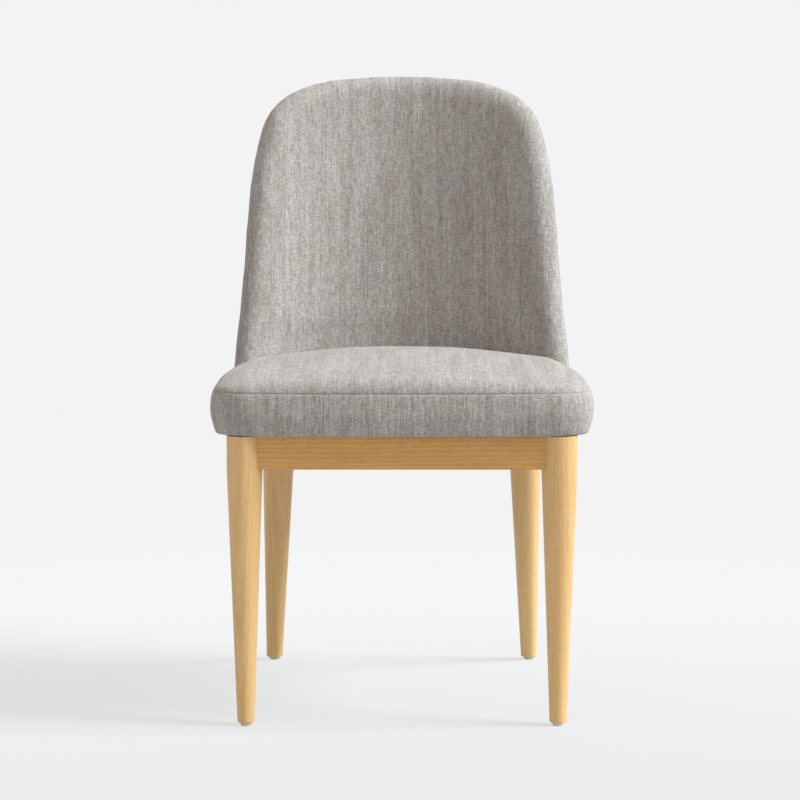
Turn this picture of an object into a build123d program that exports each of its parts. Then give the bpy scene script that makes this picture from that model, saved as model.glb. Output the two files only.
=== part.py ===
from build123d import *
import os
from math import asin, cos, degrees, radians, sin, sqrt, tan

# Upholstered dining chair: a padded barrel back and a boxed seat on a doweled oak base.
# Millimetres, +Z up, the front faces -Y, origin on the floor under the middle of the chair.
# Left is -X.

# Overall sizes
overall_height = 840.0
frame_height = 377.0  # floor to the underside of the upholstery
seat_width = 498.0  # at its widest, by the front corners
seat_inside_depth = 445.0  # seat front to the inner face of the back

# Legs: turned oak, a straight shank at the top and then a straight taper to the foot
leg_diameter = 46.0
leg_shank = 46.0
front_foot_diameter = 22.0
rear_foot_diameter = 23.0
foot_round = 2.0
seat_overhang = 40.0  # seat front ahead of the front leg axes
front_leg_inset = 47.4  # seat's widest line to the front leg axes
rear_leg_inset = 77.5  # seat's widest line to the tops of the rear leg axes
rear_leg_lead = 55.0  # inner face of the back to the tops of the rear leg axes
rear_leg_rake = 105.0  # how far back each rear foot stands from its top
rear_leg_splay = 13.0  # how far out each rear foot stands from its top

# Glides: a hard pad nailed under each foot
glide_diameter = 14.0
glide_height = 4.0
glide_round = 1.0
nail_diameter = 2.2
nail_length = 18.0
nail_head_diameter = 6.0
nail_head_height = 1.2
nail_recess = 1.2  # floor to the nail head, which the pad encloses

# Rails: oak boards doweled to flats on the legs
rail_height = 43.0
rail_thickness = 22.0
rail_setback = 8.0  # rail face behind the leg's outermost line
rail_edge_round = 1.5
leg_flat = 17.8  # leg axis to the flat that the rail butts
dowel_diameter = 8.0
dowel_in_leg = 14.0
dowel_in_rail = 26.0
dowel_spacing = 20.0
dowel_end_gap = 0.8  # glue space past each end of a dowel

# Corner blocks, their screws, and the hanger bolts that draw the legs in
block_arm = 70.0  # along each rail from the inner corner
block_height = 36.0
block_leg_gap = 3.0
bolt_diameter = 6.0
bolt_short_of_axis = 6.0  # bolt tip to the leg axis
bolt_past_nut = 3.0
washer_diameter = 12.0
washer_thickness = 1.6
nut_across_flats = 10.0
nut_height = 5.0
block_screw_station = 48.0  # inner corner to the screw, along the rail
block_screw_seat = 12.0  # rail face to the seat of the screw head
screw_diameter = 4.0
screw_head_diameter = 8.0
screw_head_height = 3.0
block_screw_in_rail = 14.0
seat_screw_near = 17.0  # inner corner to the seat screws, along one rail
seat_screw_far = 36.0  # and along the other
seat_screw_in_board = 12.0
fastener_fit = 0.1  # clearance of dowels and fasteners in their holes

# Seat upholstery
cover_thickness = 1.5
seat_rise = 90.0  # underside to the crown
boxing_height = 55.7  # underside to the seam of the top panel
seat_front_bow = 3000.0  # plan radius of the front edge
seat_corner_radius = 58.0
seat_side_taper = 1.6  # degrees, narrowing to the rear
crown_setback = 245.0  # seat front to the highest line of the crown
dome_radius = 2400.0
seat_roll = 24.0  # rounding over the seam
seat_under_roll = 13.0  # rounding at the underside
flange_width = 75.0  # cover turned in under the front of the board
flange_opening = 290.0  # width left open between the side flanges
board_thickness = 22.0
board_margin = 4.0  # foam left outside the board, past the lower rounding
tongue_inset = 6.5  # rear leg axes to the sides of the tongue that runs back to the back panel
board_nose_gap = 6.0  # board shoulders to the wings of the back
ear_lead = 8.0  # seat's rear corners end this far ahead of the middle of the wing rolls
seat_back_gap = 0.3
dust_cover_thickness = 0.8
dust_cover_margin = 3.0
staple_width = 10.0
staple_wire = 0.8
staple_depth = 8.0
staple_edge = 6.0  # dust cover edge to the staples
staple_pitch = 70.0

# Back upholstery: a barrel wall, reclined, cut to a rounded outline with rolled edges
recline = 11.0  # degrees
back_reference_rise = 78.0  # underside to the level where the inside depth is taken
back_inner_radius = 310.0
back_thickness = 42.0
inner_edge_roll = 18.0
outer_edge_roll = 14.0
wing_inset = 11.7  # seat's widest line to the outline of the back at the underside
crown_turn = 9.0  # degrees of each arc of the outline, from the top down one side
shoulder_turn = 21.5
corner_turn = 45.0
shoulder_radius = 178.0
corner_radius = 95.0
side_radius = 570.0
side_flare = 4.6  # degrees off the upright at the foot of the side
back_seam_setback = 9.0  # outer face of the back to the seam of its covers
panel_thickness = 10.0
padding_thickness = 10.0  # outside the panel
panel_edge_margin = 20.0  # padding around the edge of the panel
panel_fit = 0.2  # seat board's rear edge to the panel
back_bolt_margin = 30.0  # side of the board's tongue to the first bolt
back_bolt_count = 4
back_bolt_head_diameter = 10.5
back_bolt_head_height = 3.3
insert_diameter = 10.0
insert_length = 20.0
insert_setback = 1.0  # board's rear edge to the insert
pocket_gap = 1.5  # room in the padding around each bolt head

# Levels
UP = Vector(0, 0, 1)
rail_bottom = frame_height - rail_height
rail_middle = frame_height - rail_height / 2
block_bottom = frame_height - block_height
board_bottom = frame_height + cover_thickness
board_middle = board_bottom + board_thickness / 2
seam_height = frame_height + boxing_height
crown_height = frame_height + seat_rise
back_reference_height = frame_height + back_reference_rise
leg_radius = leg_diameter / 2

# The tilted frame of the back: rise runs up along it and rearward runs square to it
lean = radians(recline)
rise = Vector(0, sin(lean), cos(lean))
rearward = Vector(0, cos(lean), -sin(lean))
back_outer_radius = back_inner_radius + back_thickness
roll_top = overall_height - back_reference_height - inner_edge_roll * (1 - sin(lean))
outline_top = roll_top / cos(lean) + inner_edge_roll
outline_base = -back_reference_rise / cos(lean)
outline_bottom = outline_base - back_reference_rise  # spare length, cut off level

# Depth: the top of the back's outer roll stands furthest to the rear
roll_reach = (outline_top - outer_edge_roll) * sin(lean)
roll_reach += (back_thickness - outer_edge_roll) * cos(lean) + outer_edge_roll
overall_depth = seat_inside_depth + roll_reach
seat_front = -overall_depth / 2
back_face = seat_front + seat_inside_depth
seat_half = seat_width / 2

back_origin = Vector(0, back_face, back_reference_height)
barrel_centre = back_origin - rearward * back_inner_radius
back_plane = Plane(origin=back_origin, x_dir=(1, 0, 0), z_dir=-rearward)
barrel_plane = Plane(origin=barrel_centre, x_dir=(1, 0, 0), z_dir=rise)

# Outline of the back: the crown arc is as wide as the wings at the base ask
wing_half = seat_half - wing_inset
turn_1 = radians(crown_turn)
turn_2 = turn_1 + radians(shoulder_turn)
turn_3 = turn_2 + radians(corner_turn)
turn_4 = radians(90 - side_flare)
side_turn = degrees(turn_4 - turn_3)
flare = tan(radians(side_flare))
arcs_width = shoulder_radius * (sin(turn_2) - sin(turn_1))
arcs_width += corner_radius * (sin(turn_3) - sin(turn_2))
arcs_width += side_radius * (sin(turn_4) - sin(turn_3))
arcs_drop = shoulder_radius * (cos(turn_1) - cos(turn_2))
arcs_drop += corner_radius * (cos(turn_2) - cos(turn_3))
arcs_drop += side_radius * (cos(turn_3) - cos(turn_4))
flare_width = flare * (outline_top - outline_base - arcs_drop)
crown_radius = (wing_half - arcs_width - flare_width) / (sin(turn_1) - flare * (1 - cos(turn_1)))

# The wings end in a wedge, so the roll on its sharp edge is limited by the width of that end
wedge_inner = asin(wing_half / back_inner_radius)
wedge_outer = asin(wing_half / back_outer_radius)
wedge_width = back_outer_radius * cos(wedge_outer) - back_inner_radius * cos(wedge_inner)
wedge_width -= outer_edge_roll / tan(radians(45) + wedge_outer / 2)
wing_roll = min(inner_edge_roll, 0.95 * wedge_width * tan(radians(45) - wedge_inner / 2))


def wing_roll_middle(height):
    """Y of the middle of the wings' rolled front edge at a height."""
    out = wing_half - wing_roll
    back = sqrt((back_inner_radius + wing_roll) ** 2 - out**2)
    along = (height - barrel_centre.Z + back * sin(lean)) / cos(lean)
    return (barrel_centre + rise * along + rearward * back).Y


ear_end = wing_roll_middle((frame_height + seam_height) / 2) - ear_lead
board_shoulder = wing_roll_middle(frame_height) - wing_roll - board_nose_gap

# Layers of the back, counted outward from the barrel's axis
panel_outer_radius = back_outer_radius - cover_thickness - padding_thickness
panel_inner_radius = panel_outer_radius - panel_thickness
panel_middle_radius = panel_outer_radius - panel_thickness / 2
seam_radius = back_outer_radius - back_seam_setback

# Legs stand in a ring, counted round so that outward is on the right hand
front_leg_y = seat_front + seat_overhang
rear_leg_y = back_face - rear_leg_lead
front_leg_x = seat_half - front_leg_inset
rear_leg_x = seat_half - rear_leg_inset
leg_names = ["front_left", "front_right", "rear_right", "rear_left"]
rail_names = ["front_rail", "right_rail", "rear_rail", "left_rail"]
leg_tops = [
    Vector(-front_leg_x, front_leg_y, frame_height),
    Vector(front_leg_x, front_leg_y, frame_height),
    Vector(rear_leg_x, rear_leg_y, frame_height),
    Vector(-rear_leg_x, rear_leg_y, frame_height),
]
rear_foot_x = rear_leg_x + rear_leg_splay
rear_foot_y = rear_leg_y + rear_leg_rake
leg_feet = [
    Vector(-front_leg_x, front_leg_y, glide_height),
    Vector(front_leg_x, front_leg_y, glide_height),
    Vector(rear_foot_x, rear_foot_y, glide_height),
    Vector(-rear_foot_x, rear_foot_y, glide_height),
]
foot_diameters = [front_foot_diameter] * 2 + [rear_foot_diameter] * 2
rail_offset = leg_radius - rail_setback - rail_thickness / 2  # rail middle outside the leg axis
corners = range(len(leg_names))


def leg_axis_at(corner, height):
    """Point of a leg's axis at a height."""
    top = leg_tops[corner]
    foot = leg_feet[corner]
    return top + (foot - top) * ((top.Z - height) / (top.Z - foot.Z))


def flat_distance(corner, along):
    """Leg axis to its flat at mid-rail height, less the leg's lean along the rail."""
    lean_run = leg_axis_at(corner, rail_bottom) - leg_axis_at(corner, rail_middle)
    return leg_flat - abs(lean_run.dot(along))


def upright_plane(origin, facing):
    """Upright plane that faces a level direction, with its Y axis up."""
    return Plane(origin=origin, x_dir=UP.cross(facing), z_dir=facing)


# Rail lines: each rail runs from one leg of the ring to the next
rail_runs = []
rail_outs = []
rail_starts = []
rail_ends = []
for corner in corners:
    here = leg_axis_at(corner, rail_middle)
    there = leg_axis_at((corner + 1) % 4, rail_middle)
    run = (there - here).normalized()
    out = run.cross(UP)
    start = here + run * flat_distance(corner, run) + out * rail_offset
    end = there - run * flat_distance((corner + 1) % 4, run) + out * rail_offset
    rail_runs.append(run)
    rail_outs.append(out)
    rail_starts.append(upright_plane(start, run))
    rail_ends.append(upright_plane(end, -run))

# Corner lines: the inner corner of two rails, the two ways along them and the bisector
inner_corners = []
corner_ways = []
bisectors = []
for corner in corners:
    run = rail_runs[corner]
    run_before = -rail_runs[corner - 1]
    face = rail_starts[corner].origin - rail_outs[corner] * (rail_thickness / 2)
    face_before = rail_ends[corner - 1].origin - rail_outs[corner - 1] * (rail_thickness / 2)
    reach = (face_before - face).dot(rail_outs[corner - 1]) / run.dot(rail_outs[corner - 1])
    inner_corners.append(face + run * reach)
    corner_ways.append((run, run_before))
    bisectors.append((run + run_before).normalized())


def corner_point(corner, along, along_before, height):
    """Point near a corner, measured along its two rails from the inner corner."""
    run, run_before = corner_ways[corner]
    place = inner_corners[corner] + run * along + run_before * along_before
    return Vector(place.X, place.Y, height)


# Planes of the fasteners
bolt_planes = []
block_screw_planes = []
seat_screw_planes = []
nail_planes = []
for corner in corners:
    run, run_before = corner_ways[corner]
    bolt_seat = corner_point(corner, block_arm / 2, block_arm / 2, rail_middle)
    bolt_planes.append(upright_plane(bolt_seat, bisectors[corner]))
    for facing, place in (
        (-rail_outs[corner], corner_point(corner, block_screw_station, 0, rail_middle)),
        (-rail_outs[corner - 1], corner_point(corner, 0, block_screw_station, rail_middle)),
    ):
        block_screw_planes.append(upright_plane(place + facing * block_screw_seat, facing))
    for near, far in ((seat_screw_near, seat_screw_far), (seat_screw_far, seat_screw_near)):
        seat_screw_seat = corner_point(corner, near, far, block_bottom)
        seat_screw_planes.append(Plane(origin=seat_screw_seat, z_dir=-UP))
    foot = leg_feet[corner]
    nail_seat = Vector(foot.X, foot.Y, nail_recess + nail_head_height)
    nail_planes.append(Plane(origin=nail_seat, z_dir=-UP))

board_tongue_width = 2 * (rear_leg_x - tongue_inset)
back_bolt_spacing = (board_tongue_width - 2 * back_bolt_margin) / (back_bolt_count - 1)
back_bolt_planes = []
for bolt in range(back_bolt_count):
    sideways = (bolt - (back_bolt_count - 1) / 2) * back_bolt_spacing
    swing = asin(sideways / panel_outer_radius)
    radial = Vector(sin(swing), 0, 0) + rearward * cos(swing)
    along = board_middle - barrel_centre.Z + panel_inner_radius * cos(swing) * sin(lean)
    seat = barrel_centre + rise * (along / cos(lean)) + radial * panel_outer_radius
    back_bolt_planes.append(Plane(origin=seat, x_dir=rise, z_dir=radial))
back_bolt_head_planes = [plane.offset(washer_thickness) for plane in back_bolt_planes]
back_bolt_length = washer_thickness + panel_thickness + insert_setback + insert_length
insert_planes = [plane.offset(-panel_thickness - insert_setback) for plane in back_bolt_planes]
leg_bolt_planes = [plane.offset(washer_thickness) for plane in bolt_planes]


def pins(planes, diameter, ahead, behind):
    """A plain pin through each plane."""
    with BuildPart() as group:
        for plane in planes:
            with BuildSketch(plane.offset(-behind)):
                Circle(diameter / 2)
            extrude(amount=ahead + behind)
    return group.part


def headed_pins(planes, diameter, length, head_diameter, head_height):
    """A headed pin on each plane: the head stands on it and the shank goes in behind it."""
    with BuildPart() as group:
        for plane in planes:
            with BuildSketch(plane):
                Circle(head_diameter / 2)
            extrude(amount=head_height)
            with BuildSketch(plane):
                Circle(diameter / 2)
            extrude(amount=-length)
    return group.part


def rings(planes, diameter, bore, thickness):
    """A plain ring standing on each plane."""
    with BuildPart() as group:
        for plane in planes:
            with BuildSketch(plane):
                Circle(diameter / 2)
                Circle(bore / 2, mode=Mode.SUBTRACT)
            extrude(amount=thickness)
    return group.part


def keep(piece, name):
    """Label a finished piece and write it out."""
    piece.label = name
    export_step(piece, "parts/" + name + ".step")


os.makedirs("parts", exist_ok=True)

# Holes, as solids with clearance, cut from every piece that a fastener passes
bolt_bore = bolt_diameter + 2 * fastener_fit
screw_bore = screw_diameter + 2 * fastener_fit
screw_pocket = screw_head_diameter + 2 * pocket_gap
bolt_lengths = []
for corner in corners:
    reach = bolt_planes[corner].origin - leg_axis_at(corner, rail_middle)
    bolt_lengths.append(reach.dot(bisectors[corner]) - bolt_short_of_axis)
block_screw_length = block_screw_seat + block_screw_in_rail
seat_screw_length = block_height + cover_thickness + seat_screw_in_board
block_screw_holes = headed_pins(
    block_screw_planes, screw_bore, block_screw_length + fastener_fit, screw_pocket, block_arm
)
seat_screw_holes = headed_pins(
    seat_screw_planes, screw_bore, seat_screw_length + fastener_fit, screw_pocket, block_height
)
nail_holes = headed_pins(
    nail_planes,
    nail_diameter + 2 * fastener_fit,
    nail_length + fastener_fit,
    nail_head_diameter + 2 * fastener_fit,
    nail_head_height + fastener_fit,
)
back_bolt_holes = pins(back_bolt_planes, bolt_bore, washer_thickness, back_bolt_length)
insert_bore = insert_diameter + 2 * fastener_fit
insert_holes = pins(insert_planes, insert_bore, 2 * insert_setback, insert_length + fastener_fit)
head_pockets = pins(
    back_bolt_planes,
    washer_diameter + 2 * pocket_gap,
    washer_thickness + back_bolt_head_height + pocket_gap,
    panel_thickness / 2,
)


def tapered_leg(corner):
    """One turned leg, level at both ends, with a flat and dowel holes for each rail."""
    top = leg_tops[corner]
    foot = leg_feet[corner]
    upward = (top - foot).normalized()
    sideways = Vector(0, 1, 0).cross(upward).normalized()
    length = (top - foot).length
    spare = leg_radius  # length past each end, taken off by the level cuts
    foot_radius = foot_diameters[corner] / 2
    taper = (leg_radius - foot_radius) / (length - leg_shank)
    with BuildPart() as leg:
        with BuildSketch(Plane(origin=top, x_dir=sideways, z_dir=sideways.cross(upward))):
            with BuildLine():
                Polyline(
                    (0, spare),
                    (leg_radius, spare),
                    (leg_radius, -leg_shank),
                    (foot_radius - taper * spare, -length - spare),
                    (0, -length - spare),
                    close=True,
                )
            make_face()
        revolve(axis=Axis(top, upward))
        split(bisect_by=Plane.XY.offset(frame_height), keep=Keep.BOTTOM)
        split(bisect_by=Plane.XY.offset(glide_height), keep=Keep.TOP)
        fillet(leg.edges().group_by(Axis.Z)[0], foot_round)
        for plane in (rail_starts[corner], rail_ends[corner - 1]):
            with BuildSketch(plane):
                Rectangle(2 * leg_diameter, rail_height)
            extrude(amount=leg_diameter, mode=Mode.SUBTRACT)
            with BuildSketch(plane):
                with GridLocations(0, dowel_spacing, 1, 2):
                    Circle(dowel_diameter / 2 + fastener_fit)
            extrude(amount=-dowel_in_leg - dowel_end_gap, mode=Mode.SUBTRACT)
        with BuildSketch(bolt_planes[corner]):
            Circle(bolt_bore / 2)
        extrude(amount=-bolt_lengths[corner] - fastener_fit, mode=Mode.SUBTRACT)
        add(nail_holes, mode=Mode.SUBTRACT)
    return leg.part


def foot_glide(corner):
    """Hard pad under one foot, moulded around the head of its nail."""
    foot = leg_feet[corner]
    with BuildPart() as glide:
        with BuildSketch(Plane(origin=(foot.X, foot.Y, 0))):
            Circle(glide_diameter / 2)
        extrude(amount=glide_height)
        fillet(glide.edges().group_by(Axis.Z)[0], glide_round)
        add(nail_holes, mode=Mode.SUBTRACT)
    return glide.part


def doweled_rail(corner):
    """One rail, eased along its lower edges, bored for its dowels and block screws."""
    start = rail_starts[corner]
    end = rail_ends[corner]
    with BuildPart() as rail:
        with BuildSketch(start):
            Rectangle(rail_thickness, rail_height)
        extrude(amount=(end.origin - start.origin).length)
        long_edges = rail.edges().filter_by(Axis((0, 0, 0), rail_runs[corner]))
        fillet(long_edges.group_by(Axis.Z)[0], rail_edge_round)
        for plane in (start, end):
            with BuildSketch(plane):
                with GridLocations(0, dowel_spacing, 1, 2):
                    Circle(dowel_diameter / 2 + fastener_fit)
            extrude(amount=dowel_in_rail + dowel_end_gap, mode=Mode.SUBTRACT)
        add(block_screw_holes, mode=Mode.SUBTRACT)
    return rail.part


def corner_block(corner):
    """Block glued and screwed into one corner, cut back in front of the leg."""
    bisector = bisectors[corner]
    past_leg = leg_radius + block_leg_gap
    past_leg -= (inner_corners[corner] - leg_tops[corner]).dot(bisector)
    cut = past_leg / corner_ways[corner][0].dot(bisector)
    outline = [
        corner_point(corner, cut, 0, block_bottom),
        corner_point(corner, block_arm, 0, block_bottom),
        corner_point(corner, 0, block_arm, block_bottom),
        corner_point(corner, 0, cut, block_bottom),
    ]
    with BuildPart() as block:
        with BuildSketch(Plane.XY.offset(block_bottom)):
            with BuildLine():
                Polyline([(point.X, point.Y) for point in outline], close=True)
            make_face()
        extrude(amount=block_height)
        with BuildSketch(bolt_planes[corner]):
            Circle(bolt_bore / 2)
        extrude(amount=-block_arm, mode=Mode.SUBTRACT)
        add(block_screw_holes, mode=Mode.SUBTRACT)
        add(seat_screw_holes, mode=Mode.SUBTRACT)
    return block.part


# The oak base
for corner, name in enumerate(leg_names):
    keep(tapered_leg(corner), name + "_leg")
    keep(foot_glide(corner), name + "_glide")
    keep(corner_block(corner), name + "_corner_block")
for corner, name in enumerate(rail_names):
    keep(doweled_rail(corner), name)

with BuildPart() as rail_dowels:
    for plane in rail_starts + rail_ends:
        with BuildSketch(plane.offset(-dowel_in_leg)):
            with GridLocations(0, dowel_spacing, 1, 2):
                Circle(dowel_diameter / 2)
        extrude(amount=dowel_in_leg + dowel_in_rail)
keep(rail_dowels.part, "rail_dowels")

with BuildPart() as leg_hanger_bolts:
    for plane, length in zip(bolt_planes, bolt_lengths):
        with BuildSketch(plane.offset(-length)):
            Circle(bolt_diameter / 2)
        extrude(amount=length + washer_thickness + nut_height + bolt_past_nut)
keep(leg_hanger_bolts.part, "leg_hanger_bolts")

with BuildPart() as leg_bolt_nuts:
    for plane in leg_bolt_planes:
        with BuildSketch(plane):
            RegularPolygon(nut_across_flats / 2, 6, major_radius=False)
            Circle(bolt_bore / 2, mode=Mode.SUBTRACT)
        extrude(amount=nut_height)
keep(leg_bolt_nuts.part, "leg_bolt_nuts")

keep(rings(bolt_planes, washer_diameter, bolt_bore, washer_thickness), "leg_bolt_washers")
block_screws = headed_pins(
    block_screw_planes, screw_diameter, block_screw_length, screw_head_diameter, screw_head_height
)
keep(block_screws, "corner_block_screws")
seat_screws = headed_pins(
    seat_screw_planes, screw_diameter, seat_screw_length, screw_head_diameter, screw_head_height
)
keep(seat_screws, "seat_fixing_screws")
nails = headed_pins(
    nail_planes, nail_diameter, nail_length, nail_head_diameter, nail_head_height
)
keep(nails, "glide_nails")


def barrel_slab(inner, outer, inset):
    """Part of the barrel between two radii, within the back's outline drawn in by an inset."""
    low = 2 * outline_bottom
    with BuildPart() as slab:
        with BuildSketch(barrel_plane.offset(low)):
            Circle(outer)
            Circle(inner, mode=Mode.SUBTRACT)
        extrude(amount=2 * outline_top - low)
        with BuildSketch(back_plane.offset(-2 * back_thickness)):
            with BuildLine():
                crown = JernArc((0, outline_top - inset), (1, 0), crown_radius - inset, -crown_turn)
                shoulder = JernArc(crown @ 1, crown % 1, shoulder_radius - inset, -shoulder_turn)
                bend = JernArc(shoulder @ 1, shoulder % 1, corner_radius - inset, -corner_turn)
                side = JernArc(bend @ 1, bend % 1, side_radius - inset, -side_turn)
                drop = (side @ 1).Y - outline_bottom
                foot = Vector((side @ 1).X + drop * flare, outline_bottom)
                Line(side @ 1, foot)
                Line(foot, (0, outline_bottom))
                mirror(about=Plane.YZ)
            make_face()
        extrude(amount=2 * back_thickness + back_inner_radius, mode=Mode.INTERSECT)
    return slab.part


def barrel_wall(inset):
    """The whole padded back, drawn in by an inset, with its edges rolled."""
    inner = back_inner_radius + inset
    outer = back_outer_radius - inset
    up_axis = Axis(back_origin, rise)
    with BuildPart() as wall:
        add(barrel_slab(inner, outer, inset))
        for radius, roll in ((inner, wing_roll - inset), (outer, outer_edge_roll - inset)):
            barrel = wall.faces().filter_by(GeomType.CYLINDER)
            barrel = barrel.filter_by(lambda face: abs(face.radius - radius) < seat_back_gap / 2)
            fillet(barrel.edges().sort_by(up_axis)[1:], roll)
    return wall.part


def barrel_core(radius):
    """Solid barrel of a radius, as long as any part of the back."""
    with BuildPart() as core:
        with BuildSketch(barrel_plane.offset(2 * outline_bottom)):
            Circle(radius)
        extrude(amount=2 * (outline_top - outline_bottom))
    return core.part


def seat_plan(inset):
    """Plan of the seat, drawn in by an inset and run on past the back."""
    front_turn = asin((seat_half - seat_corner_radius) / (seat_front_bow - seat_corner_radius))
    round_turn = 90 + seat_side_taper - degrees(front_turn)
    with BuildSketch() as plan:
        with BuildLine():
            front = JernArc((0, seat_front + inset), (1, 0), seat_front_bow - inset, degrees(front_turn))
            bend = JernArc(front @ 1, front % 1, seat_corner_radius - inset, round_turn)
            rear = bend @ 1 + (bend % 1) * overall_depth
            Line(bend @ 1, rear)
            Line(rear, (0, rear.Y))
            mirror(about=Plane.YZ)
        make_face()
    return plan.sketch


# What lies behind the seat: past its rear corners, and past the middle of the back's wall
with BuildPart() as behind_seat:
    with BuildSketch():
        with Locations((0, ear_end)):
            Rectangle(2 * seat_width, 2 * overall_depth, align=(Align.CENTER, Align.MIN))
    extrude(amount=overall_height)
    add(barrel_core(back_inner_radius + back_thickness / 2), mode=Mode.SUBTRACT)


def seat_block(inset):
    """The whole padded seat, drawn in by an inset: crowned, rolled, and fitted to the back."""
    with BuildPart() as block:
        with BuildSketch(Plane.XY.offset(frame_height + inset)):
            add(seat_plan(inset))
        extrude(amount=2 * seat_rise)
        with Locations((0, seat_front + crown_setback, crown_height - dome_radius)):
            Sphere(dome_radius - inset, rotation=(90, 0, 0), mode=Mode.INTERSECT)
        dome = block.faces().filter_by(GeomType.SPHERE)
        fillet(dome.edges().sort_by(Axis.Y)[:-1], seat_roll - inset)
        underside = block.faces().sort_by(Axis.Z)[0]
        fillet(underside.edges().sort_by(Axis.Y)[:-1], seat_under_roll - inset)
        add(behind_seat.part, mode=Mode.SUBTRACT)
        add(barrel_wall(-seat_back_gap - inset), mode=Mode.SUBTRACT)
    return block.part


# Seat board: plywood, with a tongue that runs back under the wall to the back panel
board_inset = seat_under_roll + board_margin
with BuildPart() as board_blank:
    with BuildSketch(Plane.XY.offset(board_bottom)):
        add(seat_plan(board_inset))
        with Locations((0, board_shoulder)):
            Rectangle(
                2 * seat_width,
                2 * overall_depth,
                align=(Align.CENTER, Align.MIN),
                mode=Mode.SUBTRACT,
            )
        with Locations((0, seat_front + seat_inside_depth / 2)):
            Rectangle(board_tongue_width, seat_inside_depth, align=(Align.CENTER, Align.MIN))
    extrude(amount=board_thickness)
    add(barrel_core(panel_inner_radius), mode=Mode.INTERSECT)
board_space = board_blank.part

# Dust cover: thin cloth inside the ring of rails and blocks, stapled up into the board
dust_cover_corners = []
staple_planes = []
for corner in corners:
    along = block_arm + dust_cover_margin
    inward = -rail_outs[corner] * dust_cover_margin
    inward_before = -rail_outs[corner - 1] * dust_cover_margin
    level = frame_height - dust_cover_thickness
    dust_cover_corners.append(corner_point(corner, 0, along, level) + inward_before)
    dust_cover_corners.append(corner_point(corner, along, 0, level) + inward)
    edge_start = corner_point(corner, along, 0, level) + inward
    next_corner = (corner + 1) % 4
    edge_end = corner_point(next_corner, 0, along, level) + inward
    edge_length = (edge_end - edge_start).length
    staple_count = int(edge_length / staple_pitch) + 1
    for staple in range(staple_count):
        share = (staple + 0.5) / staple_count
        place = edge_start + (edge_end - edge_start) * share - rail_outs[corner] * staple_edge
        staple_planes.append(Plane(origin=place, x_dir=rail_runs[corner], z_dir=UP))

with BuildPart() as dust_cover_staples:
    for plane in staple_planes:
        with BuildSketch(plane.offset(-staple_wire)):
            Rectangle(staple_width, staple_wire)
        extrude(amount=staple_wire)
        with BuildSketch(plane):
            with GridLocations(staple_width - staple_wire, 0, 2, 1):
                Rectangle(staple_wire, staple_wire)
        extrude(amount=staple_depth)

with BuildPart() as dust_cover:
    with BuildSketch(Plane.XY.offset(frame_height - dust_cover_thickness)):
        with BuildLine():
            Polyline([(point.X, point.Y) for point in dust_cover_corners], close=True)
        make_face()
    extrude(amount=dust_cover_thickness)
    add(dust_cover_staples.part, mode=Mode.SUBTRACT)
keep(dust_cover.part, "dust_cover")
keep(dust_cover_staples.part, "dust_cover_staples")

with BuildPart() as seat_board:
    add(board_space)
    add(barrel_core(panel_inner_radius - panel_fit), mode=Mode.INTERSECT)
    add(seat_screw_holes, mode=Mode.SUBTRACT)
    add(back_bolt_holes, mode=Mode.SUBTRACT)
    add(insert_holes, mode=Mode.SUBTRACT)
    add(dust_cover_staples.part, mode=Mode.SUBTRACT)
keep(seat_board.part, "seat_board")

# Seat foam and its two covers, parted at the seam
with BuildPart() as seat_foam:
    add(seat_block(cover_thickness))
    add(board_space, mode=Mode.SUBTRACT)
keep(seat_foam.part, "seat_foam")

with BuildPart() as seat_cover:
    add(seat_block(0))
    add(seat_block(cover_thickness), mode=Mode.SUBTRACT)
    add(board_space, mode=Mode.SUBTRACT)
    with BuildSketch(Plane.XY.offset(frame_height)):
        with Locations((0, seat_front + flange_width)):
            Rectangle(flange_opening, overall_depth, align=(Align.CENTER, Align.MIN))
    extrude(amount=cover_thickness, mode=Mode.SUBTRACT)
    add(seat_screw_holes, mode=Mode.SUBTRACT)
    add(dust_cover_staples.part, mode=Mode.SUBTRACT)

with BuildPart() as seat_cover_top:
    add(seat_cover.part)
    split(bisect_by=Plane.XY.offset(seam_height), keep=Keep.TOP)
keep(seat_cover_top.part, "seat_cover_top")

with BuildPart() as seat_cover_boxing:
    add(seat_cover.part)
    split(bisect_by=Plane.XY.offset(seam_height), keep=Keep.BOTTOM)
keep(seat_cover_boxing.part, "seat_cover_boxing")

# Back panel: bent plywood, bolted to the rear edge of the seat board
with BuildPart() as panel_blank:
    add(barrel_slab(panel_inner_radius, panel_outer_radius, cover_thickness + panel_edge_margin))
    split(bisect_by=Plane.XY.offset(board_bottom), keep=Keep.TOP)

with BuildPart() as back_panel:
    add(panel_blank.part)
    add(back_bolt_holes, mode=Mode.SUBTRACT)
keep(back_panel.part, "back_panel")

back_bolts = headed_pins(
    back_bolt_head_planes,
    bolt_diameter,
    back_bolt_length,
    back_bolt_head_diameter,
    back_bolt_head_height,
)
keep(back_bolts, "back_bolts")
keep(rings(back_bolt_planes, washer_diameter, bolt_bore, washer_thickness), "back_bolt_washers")
keep(rings(insert_planes, insert_diameter, bolt_bore, -insert_length), "back_bolt_inserts")

# Back foam inside the panel, padding outside it, and the two covers, parted at the seam
with BuildPart() as back_filling:
    add(barrel_wall(cover_thickness))
    split(bisect_by=Plane.XY.offset(board_bottom), keep=Keep.TOP)

with BuildPart() as back_foam:
    add(back_filling.part)
    add(barrel_core(panel_middle_radius), mode=Mode.INTERSECT)
    add(panel_blank.part, mode=Mode.SUBTRACT)
    add(board_space, mode=Mode.SUBTRACT)
keep(back_foam.part, "back_foam")

with BuildPart() as back_padding:
    add(back_filling.part)
    add(barrel_core(panel_middle_radius), mode=Mode.SUBTRACT)
    add(panel_blank.part, mode=Mode.SUBTRACT)
    add(head_pockets, mode=Mode.SUBTRACT)
keep(back_padding.part, "back_padding")

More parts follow.
